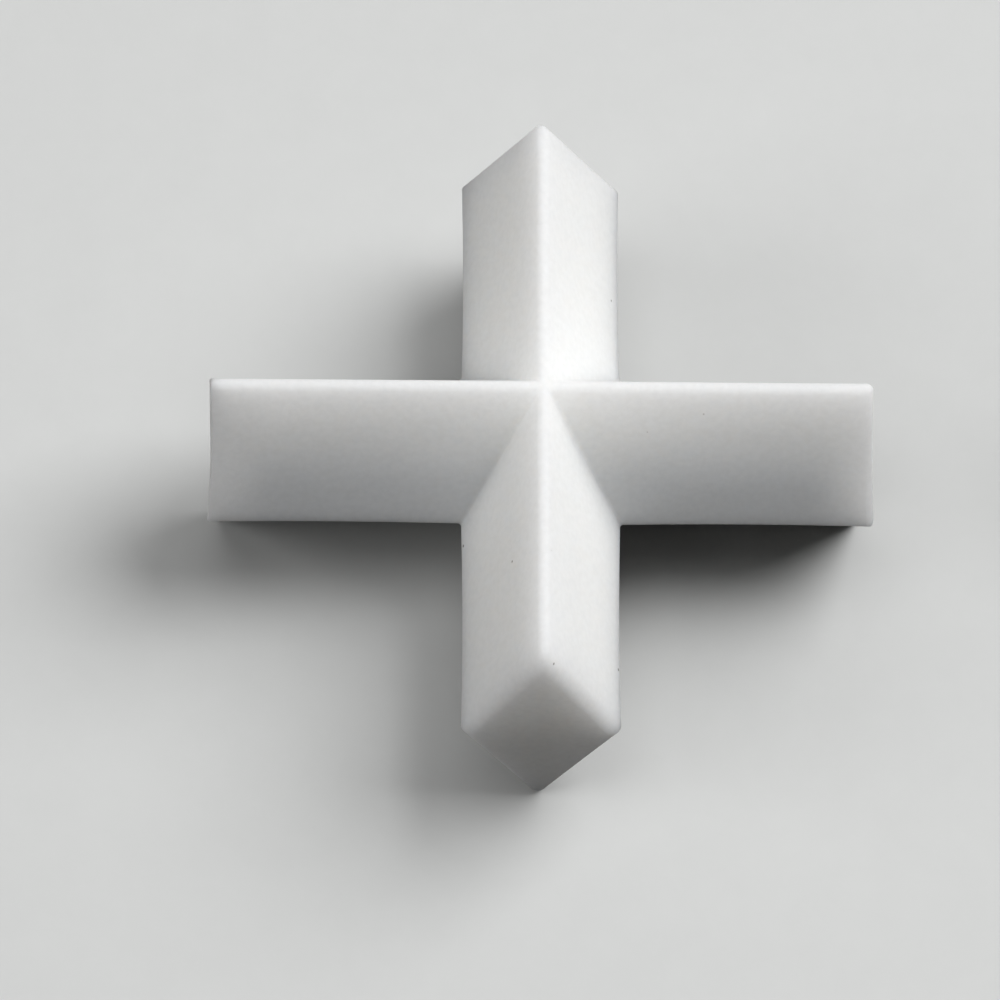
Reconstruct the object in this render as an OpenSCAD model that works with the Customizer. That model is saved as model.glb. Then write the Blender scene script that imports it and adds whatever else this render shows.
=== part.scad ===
// Cross-shaped magnetic stir bar: a seamless PTFE jacket moulded round a rod magnet.
// Two bars of diamond section cross at right angles and stand on their lower ridges.
// X runs along the magnet, Z is up, and the lower ridges touch Z = 0.

/* [Bars] */
// Length of the bar that holds the magnet, over its end faces
long_bar_len = 19.0; // [14:0.1:30]
// Length of the bar that crosses it, over its end faces
cross_bar_len = 17.5; // [12:0.1:30]
// Width of each bar across its parting edges
bar_w = 4.5; // [4:0.05:7]
// Height of each bar over its rounded ridges
bar_h = 8.6; // [8:0.1:14]
// How far the long bar sits off the middle of the one that crosses it
long_bar_off = 0.14; // [0:0.01:0.3]

/* [Edges] */
// Radius along the upper and lower ridges
ridge_r = 0.22; // [0.1:0.01:0.4]
// Height of the narrow land left at the parting edges
land_h = 0.12; // [0.05:0.01:0.3]
// Lean of each end face inwards, away from the parting plane
end_draft = 2.5; // [0.5:0.1:4]
// Radius round each end face of the long bar
long_end_r = 0.15; // [0.1:0.01:0.45]
// Radius round each end face of the bar that crosses it
cross_end_r = 0.4; // [0.1:0.01:0.45]
// Radius where a ridge of the long bar runs out at an end face
long_nose_r = 0.25; // [0.2:0.05:0.9]
// Radius where a ridge of the bar that crosses it runs out at an end face
cross_nose_r = 0.55; // [0.2:0.05:0.9]
// How far the parting edge draws in half way along each arm
waist = 0.04; // [0.01:0.01:0.1]
// Straight length left at each end of that drawn-in stretch
waist_inset = 0.35; // [0.2:0.05:1]

/* [Magnet] */
// Diameter of the magnet rod
magnet_d = 3.0; // [1.5:0.1:3.2]
// Jacket left over each end of the magnet
end_wall = 1.3; // [0.8:0.1:3]
// Chamfer at the ends of the magnet
magnet_chamfer = 0.2; // [0.05:0.05:0.5]
// Gap left all round the magnet in its pocket
pocket_gap = 0.02; // [0.01:0.01:0.05]

/* [Hidden] */
$fn = 64;
// Flank angle from the vertical: the flank runs from the land's edge to a tangent on the
// ridge radius, so that the height over the ridges comes out at bar_h
rise = bar_h / 2 - land_h / 2 - ridge_r;
flank = acos(ridge_r / norm([bar_w / 2, rise])) - atan2(rise, bar_w / 2);
// The section before its corners are rounded and trimmed
sharp_w = bar_w / 2 + land_h / 2 * tan(flank);
sharp_h = sharp_w / tan(flank);
// Distance from the middle of the section to each flank
flank_d = sharp_h * sin(flank);
// The edge between an end face and a flank leans in by edge_lean, seen square to the
// flank, and the two faces meet there at edge_skew short of a right angle
edge_lean = atan(cos(flank) * tan(end_draft));
edge_skew = asin(sin(flank) * sin(end_draft));
// How far each cut runs on past the material
over = 1;
// How far the arc that rounds an edge stands proud of the faces beside it, so that it crosses
// them and never just grazes them
proud = 0.002;

// What a radius takes off a corner, round the origin and from angle a to angle b
module corner_waste(r, a, b) {
    reach = r + over;
    mid = (a + b) / 2;
    difference() {
        polygon([
            [0, 0], reach * [cos(a), sin(a)], 2 * reach * [cos(mid), sin(mid)],
            reach * [cos(b), sin(b)]
        ]);
        circle(r + proud);
    }
}

// Diamond on edge, with its upper and lower corners rounded
module section() {
    difference() {
        polygon([[sharp_w, 0], [0, sharp_h], [-sharp_w, 0], [0, -sharp_h]]);
        for (z = [0, 1]) mirror([0, z])
            translate([0, bar_h / 2 - ridge_r - proud]) corner_waste(ridge_r, flank, 180 - flank);
    }
}

// Outline at the parting plane: each arm draws in a little between root and end
module parting_outline(len) {
    span = (len - bar_w) / 4 - waist_inset;
    waist_r = (span * span + waist * waist) / (2 * waist);
    difference() {
        square([len + 2 * over, bar_w], center = true);
        for (x = [-1, 1], y = [-1, 1])
            translate([x * (len + bar_w) / 4, y * (bar_w / 2 + waist_r - waist)])
                circle(waist_r, $fn = 360);
    }
}

// Side view: the end faces lean in from the parting plane and run out into the ridges
module side_view(len, nose_r) {
    lean = bar_h * tan(end_draft);
    nose_z = bar_h / 2 - nose_r;
    nose_x = len / 2 - (nose_r + nose_z * sin(end_draft)) / cos(end_draft);
    difference() {
        polygon([
            [len / 2, 0], [len / 2 - lean, bar_h], [lean - len / 2, bar_h],
            [-len / 2, 0], [lean - len / 2, -bar_h], [len / 2 - lean, -bar_h]
        ]);
        for (x = [0, 1], z = [0, 1]) mirror([x, 0]) mirror([0, z])
            translate([nose_x, nose_z]) corner_waste(nose_r, end_draft, 90);
    }
}

// What the end radius takes off where one end face meets one flank
module edge_waste(len, end_r) {
    rotate([flank, 0, 0]) translate([len / 2, 0, -sharp_w * sin(flank)])
        rotate([0, -edge_lean, 0]) linear_extrude(2 * bar_h, center = true)
            translate([-end_r * tan(45 - edge_skew / 2), flank_d - end_r])
                corner_waste(end_r, edge_skew, 90);
}

module bar(len, end_r, nose_r) {
    difference() {
        intersection() {
            rotate([90, 0, 90]) linear_extrude(len + 2 * over, center = true) section();
            rotate([90, 0, 0]) linear_extrude(2 * bar_w, center = true) side_view(len, nose_r);
            linear_extrude(bar_h + 2 * over, center = true) parting_outline(len);
        }
        for (x = [0, 1], y = [0, 1], z = [0, 1])
            mirror([x, 0, 0]) mirror([0, y, 0]) mirror([0, 0, z]) edge_waste(len, end_r);
    }
}

// Rod along X with a chamfer at each end, grown by a gap where it cuts the pocket
module rod(gap = 0) {
    len = long_bar_len - 2 * end_wall + 2 * gap;
    r = magnet_d / 2 + gap;
    rotate([0, 90, 0]) rotate_extrude()
        polygon([
            [0, -len / 2], [r - magnet_chamfer, -len / 2], [r, -len / 2 + magnet_chamfer],
            [r, len / 2 - magnet_chamfer], [r - magnet_chamfer, len / 2], [0, len / 2]
        ]);
}

// Middle of the long bar, where the magnet lies
module in_long_bar() {
    translate([0, long_bar_off, bar_h / 2]) children();
}

module ptfe_jacket() {
    color("white") difference() {
        union() {
            in_long_bar() bar(long_bar_len, long_end_r, long_nose_r);
            translate([0, 0, bar_h / 2]) rotate(90) bar(cross_bar_len, cross_end_r, cross_nose_r);
        }
        in_long_bar() rod(pocket_gap);
    }
}

module bar_magnet() {
    color("dimgray") in_long_bar() rod();
}

ptfe_jacket();
bar_magnet();
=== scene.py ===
import math

import bmesh
import bpy
from mathutils import Matrix, Vector


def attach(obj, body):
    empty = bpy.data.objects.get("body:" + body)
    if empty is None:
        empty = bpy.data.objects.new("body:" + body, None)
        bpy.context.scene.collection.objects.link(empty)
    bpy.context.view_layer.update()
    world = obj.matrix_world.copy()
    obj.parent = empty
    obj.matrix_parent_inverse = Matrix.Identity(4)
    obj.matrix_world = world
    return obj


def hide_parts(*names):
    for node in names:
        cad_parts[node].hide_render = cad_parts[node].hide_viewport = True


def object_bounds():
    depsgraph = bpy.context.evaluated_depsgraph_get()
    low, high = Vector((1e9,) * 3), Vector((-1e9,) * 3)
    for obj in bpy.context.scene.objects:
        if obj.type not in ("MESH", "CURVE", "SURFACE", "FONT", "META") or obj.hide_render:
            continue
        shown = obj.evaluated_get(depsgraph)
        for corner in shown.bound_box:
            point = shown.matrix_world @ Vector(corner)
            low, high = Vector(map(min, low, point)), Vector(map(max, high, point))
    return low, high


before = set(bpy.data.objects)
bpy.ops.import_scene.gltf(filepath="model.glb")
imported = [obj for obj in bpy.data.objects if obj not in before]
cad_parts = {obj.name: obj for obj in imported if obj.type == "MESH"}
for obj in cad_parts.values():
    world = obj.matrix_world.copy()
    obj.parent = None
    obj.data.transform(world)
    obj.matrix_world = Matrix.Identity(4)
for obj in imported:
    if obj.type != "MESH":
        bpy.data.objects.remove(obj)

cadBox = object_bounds()
mm = 0.001
tolerance = {"same": 1e-6, "level": 1e-5, "fine": 1e-7, "cut": 1e-8}  # metres
share = {"alongArm": 0.9, "nearRidge": 0.9, "aroundHeart": 1.02}  # for picking faces and edges
scene = bpy.context.scene
print("frame loaded:", sorted(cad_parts))


def srgb(code):  # hex colour to the linear values that a shader works in
    parts = [int(code[i:i + 2], 16) / 255 for i in (1, 3, 5)]
    return [c / 12.92 if c <= 0.04045 else ((c + 0.055) / 1.055) ** 2.4 for c in parts] + [1.0]


def addNode(tree, kind, settings=None, links=None):  # a key is a property, a socket or its number
    node = tree.nodes.new(kind)
    for name, value in (settings or {}).items():
        if isinstance(name, int) or name in node.inputs:
            node.inputs[name].default_value = value
        else:
            setattr(node, name, value)
    for name, source in (links or {}).items():
        tree.links.new(source, node.inputs[name])
    return node


def newMaterial(name):
    material = bpy.data.materials.new(name)
    material.use_nodes = True
    material.node_tree.nodes.clear()
    return material, material.node_tree


camera = {  # a long lens, well back
    "elevation": 63.945, "turn": 2.581, "roll": 2.767,  # degrees
    "distance": 266.0, "pixelsPerMm": 34.956, "imageSide": 1000,  # distance in mm
    "objectAt": (540.471, 456.708),  # where the middle of the object lands in the image
    "sensor": 36.0, "clip": (0.02, 5.0),  # sensor in mm, clip in metres
}


def makeCamera():
    e, t, r = (math.radians(camera[k]) for k in ("elevation", "turn", "roll"))
    right = Vector((math.cos(t), -math.sin(t), 0))
    up = Vector((math.sin(t) * math.sin(e), math.cos(t) * math.sin(e), math.cos(e)))
    back = Vector((-math.sin(t) * math.cos(e), -math.cos(t) * math.cos(e), math.sin(e)))
    rolledRight = right * math.cos(r) + up * math.sin(r)
    rolledUp = up * math.cos(r) - right * math.sin(r)
    middle = Vector((0, 0, (cadBox[0].z + cadBox[1].z) / 2))
    place = middle + back * camera["distance"] * mm
    columns = [rolledRight, rolledUp, back]
    turn = Matrix([[c[i] for c in columns] for i in range(3)]).to_4x4()
    data = bpy.data.cameras.new("copyStandCamera")
    data.sensor_width = camera["sensor"]
    side = camera["imageSide"]
    data.lens = camera["distance"] * camera["pixelsPerMm"] * camera["sensor"] / side
    data.shift_x = (side / 2 - camera["objectAt"][0]) / side
    data.shift_y = (camera["objectAt"][1] - side / 2) / side
    data.clip_start, data.clip_end = camera["clip"]
    item = bpy.data.objects.new("copyStandCamera", data)
    item.matrix_world = Matrix.Translation(place) @ turn
    scene.collection.objects.link(item)
    scene.camera = item


makeCamera()
print("camera placed")


def clearSelection():
    if bpy.context.mode != "OBJECT":
        bpy.ops.object.mode_set(mode="OBJECT")
    bpy.ops.object.select_all(action="DESELECT")


def activate(item):
    clearSelection()
    item.select_set(True)
    bpy.context.view_layer.objects.active = item


def pick(item, kind, test):  # in edit mode: select the verts, edges or faces that pass the test
    bpy.ops.mesh.select_mode(type={"verts": "VERT", "edges": "EDGE", "faces": "FACE"}[kind])
    bpy.ops.mesh.select_all(action="DESELECT")
    shape = bmesh.from_edit_mesh(item.data)
    for part in getattr(shape, kind):
        if test(part):
            part.select_set(True)
    shape.select_flush_mode()
    bmesh.update_edit_mesh(item.data)


jacket = {  # sizes in mm, angles in degrees
    "width": 4.5, "height": 8.6,
    "longOffset": 0.14,  # the long bar sits this far off the middle of the other
    "ridgeRadius": 0.22, "landHeight": 0.12, "partingRadius": 0.09, "valleyRadius": 0.08,
    "ringsPerBevel": 6, "bevelProfile": 0.428,  # comes nearest to a true arc on the ridges
    "waist": 0.04, "stations": 5,  # rings of verts along each arm, drawn in by the waist
    "firstRing": 0.3, "lastRing": 0.7,  # from the flank of the other bar, and from the end
    "rows": (0.3, 0.62),  # levels of verts above and below the middle, as shares of half the height
    "endZone": 0.5,  # what lies this near to an end belongs to its end face
    "smoothAngle": 40.0,
    # every end came out of the mould and the trimming a little different. Draft: above and below
    # the parting line. Sink: of the end face, at each row. Hollow: half way along the parting
    # line. Upper and lower: how far the rounded edges of the end face cut back, the upper pair
    # with its low side in x or y first.
    "arms": {
        "right": {"way": (1, 0, 0), "reach": 9.5, "draft": (2.5, 2.5), "sink": (0.02, 0.03),
                  "hollow": 0.01, "upper": (0.22, 0.18), "lower": 0.10},
        "left": {"way": (-1, 0, 0), "reach": 9.5, "draft": (1.5, 2.5), "sink": (0.07, 0.07),
                 "hollow": 0.08, "upper": (0.05, 0.05), "lower": 0.06},
        "far": {"way": (0, 1, 0), "reach": 8.75, "draft": (2.5, 2.5), "sink": (0.01, 0.01),
                "hollow": 0.01, "upper": (0.14, 0.34), "lower": 0.20},
        "near": {"way": (0, -1, 0), "reach": 8.75, "draft": (2.5, 0.6), "sink": (0.01, 0.01),
                 "hollow": 0.01, "upper": (0.46, 0.46), "lower": 0.26},
    },
    # the closed pocket that the magnet lies in: its walls stop the light inside the jacket
    "pocket": {"radius": 1.52, "length": 16.44, "chamfer": 0.2, "sides": 64},
}


def makeJacketCage(name):
    j, same, cut = jacket, tolerance["same"], tolerance["cut"]
    halfWidth = j["width"] / 2
    rise = j["height"] / 2 - j["landHeight"] / 2 - j["ridgeRadius"]
    flank = math.acos(j["ridgeRadius"] / math.hypot(halfWidth, rise)) - math.atan2(rise, halfWidth)
    sharpW = (halfWidth + j["landHeight"] / 2 * math.tan(flank)) * mm
    sharpH = sharpW / math.tan(flank)
    middle = Vector((0, j["longOffset"] * mm, j["height"] / 2 * mm))
    clearSelection()
    bpy.ops.mesh.primitive_cone_add(
        vertices=4, radius1=sharpW * math.sqrt(2), radius2=0, depth=sharpH,
        location=middle + Vector((0, 0, sharpH / 2)), rotation=(0, 0, math.radians(45)))
    item = bpy.context.active_object
    item.name = name
    activate(item)
    bpy.ops.object.transform_apply(location=True, rotation=True, scale=True)
    bpy.ops.object.mode_set(mode="EDIT")
    zMid = middle.z
    pick(item, "faces", lambda f: abs(f.calc_center_median().z - zMid) < same)
    bpy.ops.mesh.extrude_region_move(TRANSFORM_OT_translate={"value": (0, 0, -sharpH)})
    bpy.ops.mesh.merge(type="CENTER")  # the cone and its mirror below make the heart of the cross
    pick(item, "edges", lambda e: all(abs(v.co.z - zMid) < same for v in e.verts))
    bpy.ops.mesh.dissolve_edges(use_verts=False)
    for arm in j["arms"].values():
        way, reach = Vector(arm["way"]), arm["reach"]
        end = way * reach * mm
        onX = abs(way.x) > abs(way.y)
        # the face of the heart that looks along the arm goes out to the end and is flattened there
        pick(item, "faces", lambda f: (f.calc_center_median() - middle).length < 2 * sharpW
             and (f.calc_center_median() - middle).normalized().dot(way) > share["alongArm"])
        bpy.ops.mesh.extrude_region_move()
        bpy.ops.transform.resize(value=(0, 1, 1) if onX else (1, 0, 1), center_override=tuple(end))
        for side, degrees in zip((1, -1), arm["draft"]):
            pick(item, "verts", lambda v: abs((v.co - end).dot(way)) < same
                 and (v.co.z - zMid) * side > sharpH / 2)
            lean = sharpH * math.tan(math.radians(degrees))
            bpy.ops.transform.translate(value=tuple(way * -lean))
        # the parting line crosses the end face, a little hollow
        pick(item, "verts", lambda v: abs((v.co - end).dot(way)) < same
             and abs(v.co.z - zMid) < same)
        bpy.ops.mesh.vert_connect_path()
        pick(item, "edges", lambda e: all(
            abs((v.co - end).dot(way)) + abs(v.co.z - zMid) < same for v in e.verts))
        bpy.ops.mesh.subdivide(number_cuts=1)
        axis = Vector((0, middle.y, 0)) if onX else Vector()  # the bar's own middle line
        centre = end + axis + Vector((0, 0, zMid))
        pick(item, "verts", lambda v: (v.co - centre).length < same)
        bpy.ops.transform.translate(value=tuple(way * -arm["hollow"] * mm))
        first = halfWidth + j["firstRing"]
        span = reach - j["lastRing"] - first
        rings = [first + span * k / (j["stations"] + 1) for k in range(1, j["stations"] + 1)]
        for along in rings:
            bpy.ops.mesh.select_all(action="SELECT")
            bpy.ops.mesh.bisect(
                plane_co=tuple(way * along * mm), plane_no=tuple(way), threshold=cut)
        for along in rings:  # each ring is drawn in a little, most of all half way
            at = way * along * mm + axis
            part = (along - halfWidth) / (reach - halfWidth)
            draw = 1 - 4 * part * (1 - part) * j["waist"] / halfWidth
            pick(item, "verts", lambda v: abs((v.co - at).dot(way)) < same)
            bpy.ops.transform.resize(
                value=(1, draw, 1) if onX else (draw, 1, 1), center_override=tuple(at))
    for row in j["rows"]:
        for side in (1, -1):
            bpy.ops.mesh.select_all(action="SELECT")
            level = zMid + side * row * sharpH
            bpy.ops.mesh.bisect(plane_co=(0, 0, level), plane_no=(0, 0, 1), threshold=cut)
    for arm in j["arms"].values():  # the end faces shrank a little hollow as the moulding cooled
        way = Vector(arm["way"])
        for row, sink in zip(j["rows"], arm["sink"]):
            pick(item, "verts", lambda v: v.co.dot(way) > (arm["reach"] - j["endZone"]) * mm
                 and abs(abs(v.co.z - zMid) - row * sharpH) < same)
            bpy.ops.transform.translate(value=tuple(way * -sink * mm))
    bpy.ops.object.mode_set(mode="OBJECT")
    print("jacket cage:", len(item.data.vertices), "verts,", len(item.data.polygons), "faces")
    return item, flank, sharpW, sharpH, middle


def kindOfEdge(a, b, sharpW, sharpH):  # a and b are its ends, seen from the middle of the jacket
    drop = abs(a.z - b.z)
    for arm in jacket["arms"].values():
        way = Vector(arm["way"])
        if min(a.dot(way), b.dot(way)) > (arm["reach"] - jacket["endZone"]) * mm:
            if drop < tolerance["level"]:
                return 0
            across = Vector((abs(way.y), abs(way.x), 0))
            return arm["upper"][(a + b).dot(across) > 0] if a.z + b.z > 0 else arm["lower"]
    if min(abs(a.z), abs(b.z)) > sharpH * share["nearRidge"]:
        return "ridge"
    if max(abs(a.z), abs(b.z)) < tolerance["same"]:
        return "parting"
    inHeart = all(max(abs(c.x), abs(c.y)) < sharpW * share["aroundHeart"] for c in (a, b))
    return "valley" if inHeart and drop > tolerance["level"] else 0


def bevelJacket(item, flank, sharpW, sharpH, middle):
    j = jacket
    widest = j["ridgeRadius"] / math.tan(flank)  # how far the widest bevel cuts back each face
    cuts = {"ridge": widest, "parting": j["partingRadius"] * math.tan(flank),
            "valley": j["valleyRadius"]}
    weights = item.data.attributes.new("bevel_weight_edge", "FLOAT", "EDGE")
    verts = item.data.vertices
    for edge in item.data.edges:
        kind = kindOfEdge(*(verts[i].co - middle for i in edge.vertices), sharpW, sharpH)
        weights.data[edge.index].value = cuts.get(kind, kind) / widest
    activate(item)
    bevel = item.modifiers.new("edges", "BEVEL")
    bevel.limit_method = "WEIGHT"
    bevel.width = widest * mm
    bevel.segments = j["ringsPerBevel"]
    bevel.profile = j["bevelProfile"]
    bevel.use_clamp_overlap = False
    bevel.loop_slide = True
    bevel.miter_outer = "MITER_SHARP"
    bpy.ops.object.modifier_apply(modifier=bevel.name)
    bpy.ops.object.mode_set(mode="EDIT")
    for side in (1, -1):  # the ridges cross level, with no bump where they meet
        top = middle.z + side * j["height"] / 2 * mm
        pick(item, "verts", lambda v: (v.co.z - top) * side > tolerance["fine"])
        bpy.ops.transform.resize(value=(1, 1, 0), center_override=(0, 0, top))
    bpy.ops.object.mode_set(mode="OBJECT")
    print("jacket bevelled:", len(item.data.vertices), "verts")


def addPocket(item, middle):
    pocket = jacket["pocket"]
    clearSelection()
    bpy.ops.mesh.primitive_cylinder_add(
        vertices=pocket["sides"], radius=pocket["radius"] * mm, depth=pocket["length"] * mm,
        location=middle, rotation=(0, math.radians(90), 0))
    cavity = bpy.context.active_object
    activate(cavity)
    bpy.ops.object.transform_apply(location=True, rotation=True, scale=True)
    bpy.ops.object.mode_set(mode="EDIT")
    pick(cavity, "edges", lambda e: abs(e.verts[0].co.x - e.verts[1].co.x) < tolerance["fine"])
    bpy.ops.mesh.bevel(offset=pocket["chamfer"] * mm, segments=1)
    bpy.ops.mesh.select_all(action="SELECT")
    bpy.ops.mesh.flip_normals()
    bpy.ops.object.mode_set(mode="OBJECT")
    cavity.select_set(True)
    item.select_set(True)
    bpy.context.view_layer.objects.active = item
    bpy.ops.object.join()
    print("pocket cut")


jacketPiece, flankAngle, sharpW, sharpH, jacketMiddle = makeJacketCage("moulded_jacket")
bevelJacket(jacketPiece, flankAngle, sharpW, sharpH, jacketMiddle)
addPocket(jacketPiece, jacketMiddle)
activate(jacketPiece)
bpy.ops.object.shade_smooth_by_angle(angle=math.radians(jacket["smoothAngle"]))
low, high = ([round(most(v.co[i] for v in jacketPiece.data.vertices) / mm, 3) for i in range(3)]
             for most in (min, max))
print("jacket box mm", low, high)


ptfeLook = {  # sizes in mm
    "colour": "#f6f6f4", "denseColour": "#f2f2f0",
    "mottleSize": 0.2, "mottleDetail": 2.0, "mottleRoughness": 0.6, "mottleBand": (0.36, 0.66),
    "roughness": (0.66, 0.82), "grainBand": (0.3, 0.7),
    "grainSize": 0.14, "grainDetail": 2.0, "grainRoughness": 0.55, "grainHeight": 0.006,
    "dentSize": 0.9, "dentDetail": 1.0, "dentHeight": 0.012,
    "speckSpacing": 1.4, "speckRadius": 0.055, "speckCore": 0.5, "speckStrength": 0.85,
    "speckColour": "#857d72",
    "depth": 2.4, "redDepth": 1.0, "greenDepth": 0.95, "blueDepth": 0.9, "ior": 1.35,
}


def makePtfe():
    # PTFE powder pressed round the magnet and sintered: milky white, matt and waxy. Light soaks
    # in and comes out again beside it, the pressed grain shows as a fine tooth and a faint
    # mottle a shade greyer, and a few dark specks are baked in.
    look = ptfeLook
    material, tree = newMaterial("sintered PTFE")
    place = addNode(tree, "ShaderNodeTexCoord")
    inMm = addNode(tree, "ShaderNodeMapping", {
        "Scale": (1 / mm, 1 / mm, 1 / mm)}, {"Vector": place.outputs["Object"]})
    mottle = addNode(tree, "ShaderNodeTexNoise", {
        "Scale": 1 / look["mottleSize"], "Detail": look["mottleDetail"],
        "Roughness": look["mottleRoughness"],
    }, {"Vector": inMm.outputs["Vector"]})
    mottleShare = addNode(tree, "ShaderNodeMapRange", {
        "From Min": look["mottleBand"][0], "From Max": look["mottleBand"][1],
    }, {"Value": mottle.outputs["Fac"]})
    specks = addNode(tree, "ShaderNodeTexVoronoi", {
        "Scale": 1 / look["speckSpacing"]}, {"Vector": inMm.outputs["Vector"]})
    radius = look["speckRadius"] / look["speckSpacing"]
    speckShare = addNode(tree, "ShaderNodeMapRange", {
        "From Min": radius, "From Max": radius * look["speckCore"],
        "To Max": look["speckStrength"],
    }, {"Value": specks.outputs["Distance"]})
    milk = addNode(tree, "ShaderNodeMix", {
        "data_type": "RGBA", 6: srgb(look["colour"]), 7: srgb(look["denseColour"]),
    }, {0: mottleShare.outputs["Result"]})
    colour = addNode(tree, "ShaderNodeMix", {
        "data_type": "RGBA", 7: srgb(look["speckColour"]),
    }, {0: speckShare.outputs["Result"], 6: milk.outputs[2]})
    grain = addNode(tree, "ShaderNodeTexNoise", {
        "Scale": 1 / look["grainSize"], "Detail": look["grainDetail"],
        "Roughness": look["grainRoughness"],
    }, {"Vector": inMm.outputs["Vector"]})
    roughness = addNode(tree, "ShaderNodeMapRange", {
        "From Min": look["grainBand"][0], "From Max": look["grainBand"][1],
        "To Min": look["roughness"][0], "To Max": look["roughness"][1],
    }, {"Value": grain.outputs["Fac"]})
    tooth = addNode(tree, "ShaderNodeBump", {
        "Distance": look["grainHeight"] * mm}, {"Height": grain.outputs["Fac"]})
    dents = addNode(tree, "ShaderNodeTexNoise", {
        "Scale": 1 / look["dentSize"], "Detail": look["dentDetail"],
    }, {"Vector": inMm.outputs["Vector"]})
    skin = addNode(tree, "ShaderNodeBump", {"Distance": look["dentHeight"] * mm}, {
        "Height": dents.outputs["Fac"], "Normal": tooth.outputs["Normal"]})
    shader = addNode(tree, "ShaderNodeBsdfPrincipled", {
        "IOR": look["ior"], "Subsurface Weight": 1.0, "Subsurface Scale": look["depth"] * mm,
        "Subsurface Radius": (look["redDepth"], look["greenDepth"], look["blueDepth"]),
    }, {
        "Base Color": colour.outputs[2], "Roughness": roughness.outputs["Result"],
        "Normal": skin.outputs["Normal"],
    })
    addNode(tree, "ShaderNodeOutputMaterial", None, {"Surface": shader.outputs["BSDF"]})
    return material


alnicoLook = {  # sizes in mm
    "colour": "#6f6c68", "darkColour": "#55524f",
    "castGrain": 0.35, "boundaryBand": (0.12, 0.3), "boundaryStrength": 0.9,
    "grindPitch": 0.08, "grindLength": 4.0, "grindDetail": 2.0, "grindDepth": 0.004,
    "roughness": (0.38, 0.58), "grindBand": (0.3, 0.7),
}


def makeAlnico():
    # cast AlNiCo, ground round: dull grey metal with a coarse casting grain, darker at its
    # boundaries, and fine rings left by the grinding wheel
    look = alnicoLook
    material, tree = newMaterial("cast AlNiCo")
    place = addNode(tree, "ShaderNodeTexCoord")
    inMm = addNode(tree, "ShaderNodeMapping", {
        "Scale": (1 / mm, 1 / mm, 1 / mm)}, {"Vector": place.outputs["Object"]})
    crystals = addNode(tree, "ShaderNodeTexVoronoi", {
        "feature": "DISTANCE_TO_EDGE", "Scale": 1 / look["castGrain"],
    }, {"Vector": inMm.outputs["Vector"]})
    boundary = addNode(tree, "ShaderNodeMapRange", {
        "From Min": look["boundaryBand"][0], "From Max": look["boundaryBand"][1],
        "To Min": look["boundaryStrength"], "To Max": 0.0,
    }, {"Value": crystals.outputs["Distance"]})
    colour = addNode(tree, "ShaderNodeMix", {
        "data_type": "RGBA", 6: srgb(look["colour"]), 7: srgb(look["darkColour"]),
    }, {0: boundary.outputs["Result"]})
    along = addNode(tree, "ShaderNodeMapping", {
        "Scale": (1 / look["grindPitch"], 1 / look["grindLength"], 1 / look["grindLength"]),
    }, {"Vector": inMm.outputs["Vector"]})
    rings = addNode(tree, "ShaderNodeTexNoise", {
        "Scale": 1.0, "Detail": look["grindDetail"]}, {"Vector": along.outputs["Vector"]})
    roughness = addNode(tree, "ShaderNodeMapRange", {
        "From Min": look["grindBand"][0], "From Max": look["grindBand"][1],
        "To Min": look["roughness"][0], "To Max": look["roughness"][1],
    }, {"Value": rings.outputs["Fac"]})
    marks = addNode(tree, "ShaderNodeBump", {
        "Distance": look["grindDepth"] * mm}, {"Height": rings.outputs["Fac"]})
    shader = addNode(tree, "ShaderNodeBsdfPrincipled", {"Metallic": 1.0}, {
        "Base Color": colour.outputs[2], "Roughness": roughness.outputs["Result"],
        "Normal": marks.outputs["Normal"],
    })
    addNode(tree, "ShaderNodeOutputMaterial", None, {"Surface": shader.outputs["BSDF"]})
    return material


ptfe, alnico = makePtfe(), makeAlnico()
jacketPiece.data.materials.append(ptfe)
for nodeName, material in (("ptfe_jacket", ptfe), ("bar_magnet", alnico)):
    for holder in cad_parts[nodeName].material_slots:
        holder.material = material
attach(jacketPiece, "root")
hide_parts("ptfe_jacket")
print("materials made")


stage = {
    "floorSize": 2.0, "floorColour": "#cdcecd", "fibreColour": "#c8c9c8",  # size in metres
    "bounceColour": "#585858",  # what the floor gives back to matt surfaces
    "fibreSize": 1.6, "fibreDetail": 4.0, "fibreRoughness": 0.7,  # size in mm
    "roughness": 0.9,
}


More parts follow.
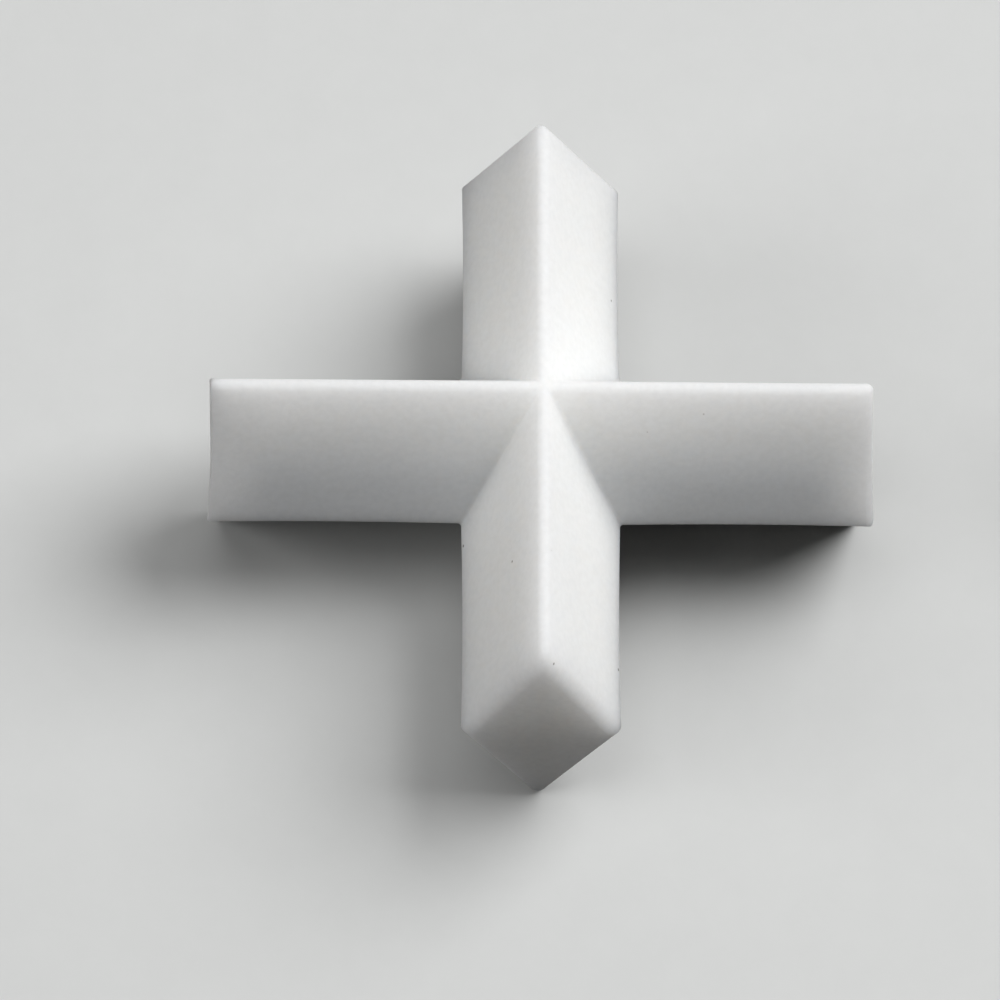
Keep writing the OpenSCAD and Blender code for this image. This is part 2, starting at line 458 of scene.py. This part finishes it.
def makeStage():
    clearSelection()
    bpy.ops.mesh.primitive_plane_add(size=stage["floorSize"], location=(0, 0, 0))
    floor = bpy.context.active_object
    floor.name = "floor"
    # uncoated paper: matt, with the faint cloud of its fibres
    material, tree = newMaterial("uncoated paper")
    place = addNode(tree, "ShaderNodeTexCoord")
    inMm = addNode(tree, "ShaderNodeMapping", {
        "Scale": (1 / mm, 1 / mm, 1 / mm)}, {"Vector": place.outputs["Object"]})
    fibres = addNode(tree, "ShaderNodeTexNoise", {
        "Scale": 1 / stage["fibreSize"], "Detail": stage["fibreDetail"],
        "Roughness": stage["fibreRoughness"],
    }, {"Vector": inMm.outputs["Vector"]})
    paper = addNode(tree, "ShaderNodeMix", {
        "data_type": "RGBA", 6: srgb(stage["floorColour"]), 7: srgb(stage["fibreColour"]),
    }, {0: fibres.outputs["Fac"]})
    path = addNode(tree, "ShaderNodeLightPath")
    direct = addNode(tree, "ShaderNodeMath", {"operation": "ADD", "use_clamp": True}, {
        0: path.outputs["Is Camera Ray"], 1: path.outputs["Is Glossy Ray"]})
    shown = addNode(tree, "ShaderNodeMath", {"operation": "ADD", "use_clamp": True}, {
        0: direct.outputs["Value"], 1: path.outputs["Is Transmission Ray"]})
    tone = addNode(tree, "ShaderNodeMix", {
        "data_type": "RGBA", 6: srgb(stage["bounceColour"]),
    }, {0: shown.outputs["Value"], 7: paper.outputs[2]})
    shader = addNode(tree, "ShaderNodeBsdfPrincipled", {
        "Roughness": stage["roughness"]}, {"Base Color": tone.outputs[2]})
    addNode(tree, "ShaderNodeOutputMaterial", None, {"Surface": shader.outputs["BSDF"]})
    floor.data.materials.append(material)


light = {  # angles in degrees, distances and sizes in metres
    "lamps": {
        "key": {"azimuth": 26.0, "elevation": 54.0, "distance": 0.5, "size": 0.4, "watts": 2.59},
        "side": {"azimuth": 190.0, "elevation": 35.0, "distance": 0.5, "size": 0.3, "watts": 0.72},
        "top": {"azimuth": 180.0, "elevation": 86.0, "distance": 0.5, "size": 0.3, "watts": 0.53},
    },
    "worldStrength": 0.002,
}


def makeLight():
    for name, lamp in light["lamps"].items():
        a, e = math.radians(lamp["azimuth"]), math.radians(lamp["elevation"])
        away = Vector((math.cos(a) * math.cos(e), math.sin(a) * math.cos(e), math.sin(e)))
        data = bpy.data.lights.new(name + "Softbox", "AREA")
        data.shape, data.size, data.energy = "DISK", lamp["size"], lamp["watts"]
        item = bpy.data.objects.new(name + "Softbox", data)
        item.location = away * lamp["distance"]
        item.rotation_mode = "QUATERNION"
        item.rotation_quaternion = away.to_track_quat("Z", "Y")
        scene.collection.objects.link(item)
    world = bpy.data.worlds.new("studio")
    world.use_nodes = True
    background = world.node_tree.nodes["Background"]
    background.inputs["Color"].default_value = (1, 1, 1, 1)
    background.inputs["Strength"].default_value = light["worldStrength"]
    scene.world = world


makeStage()
makeLight()
print("stage and light made")

scene.view_settings.view_transform = "Standard"
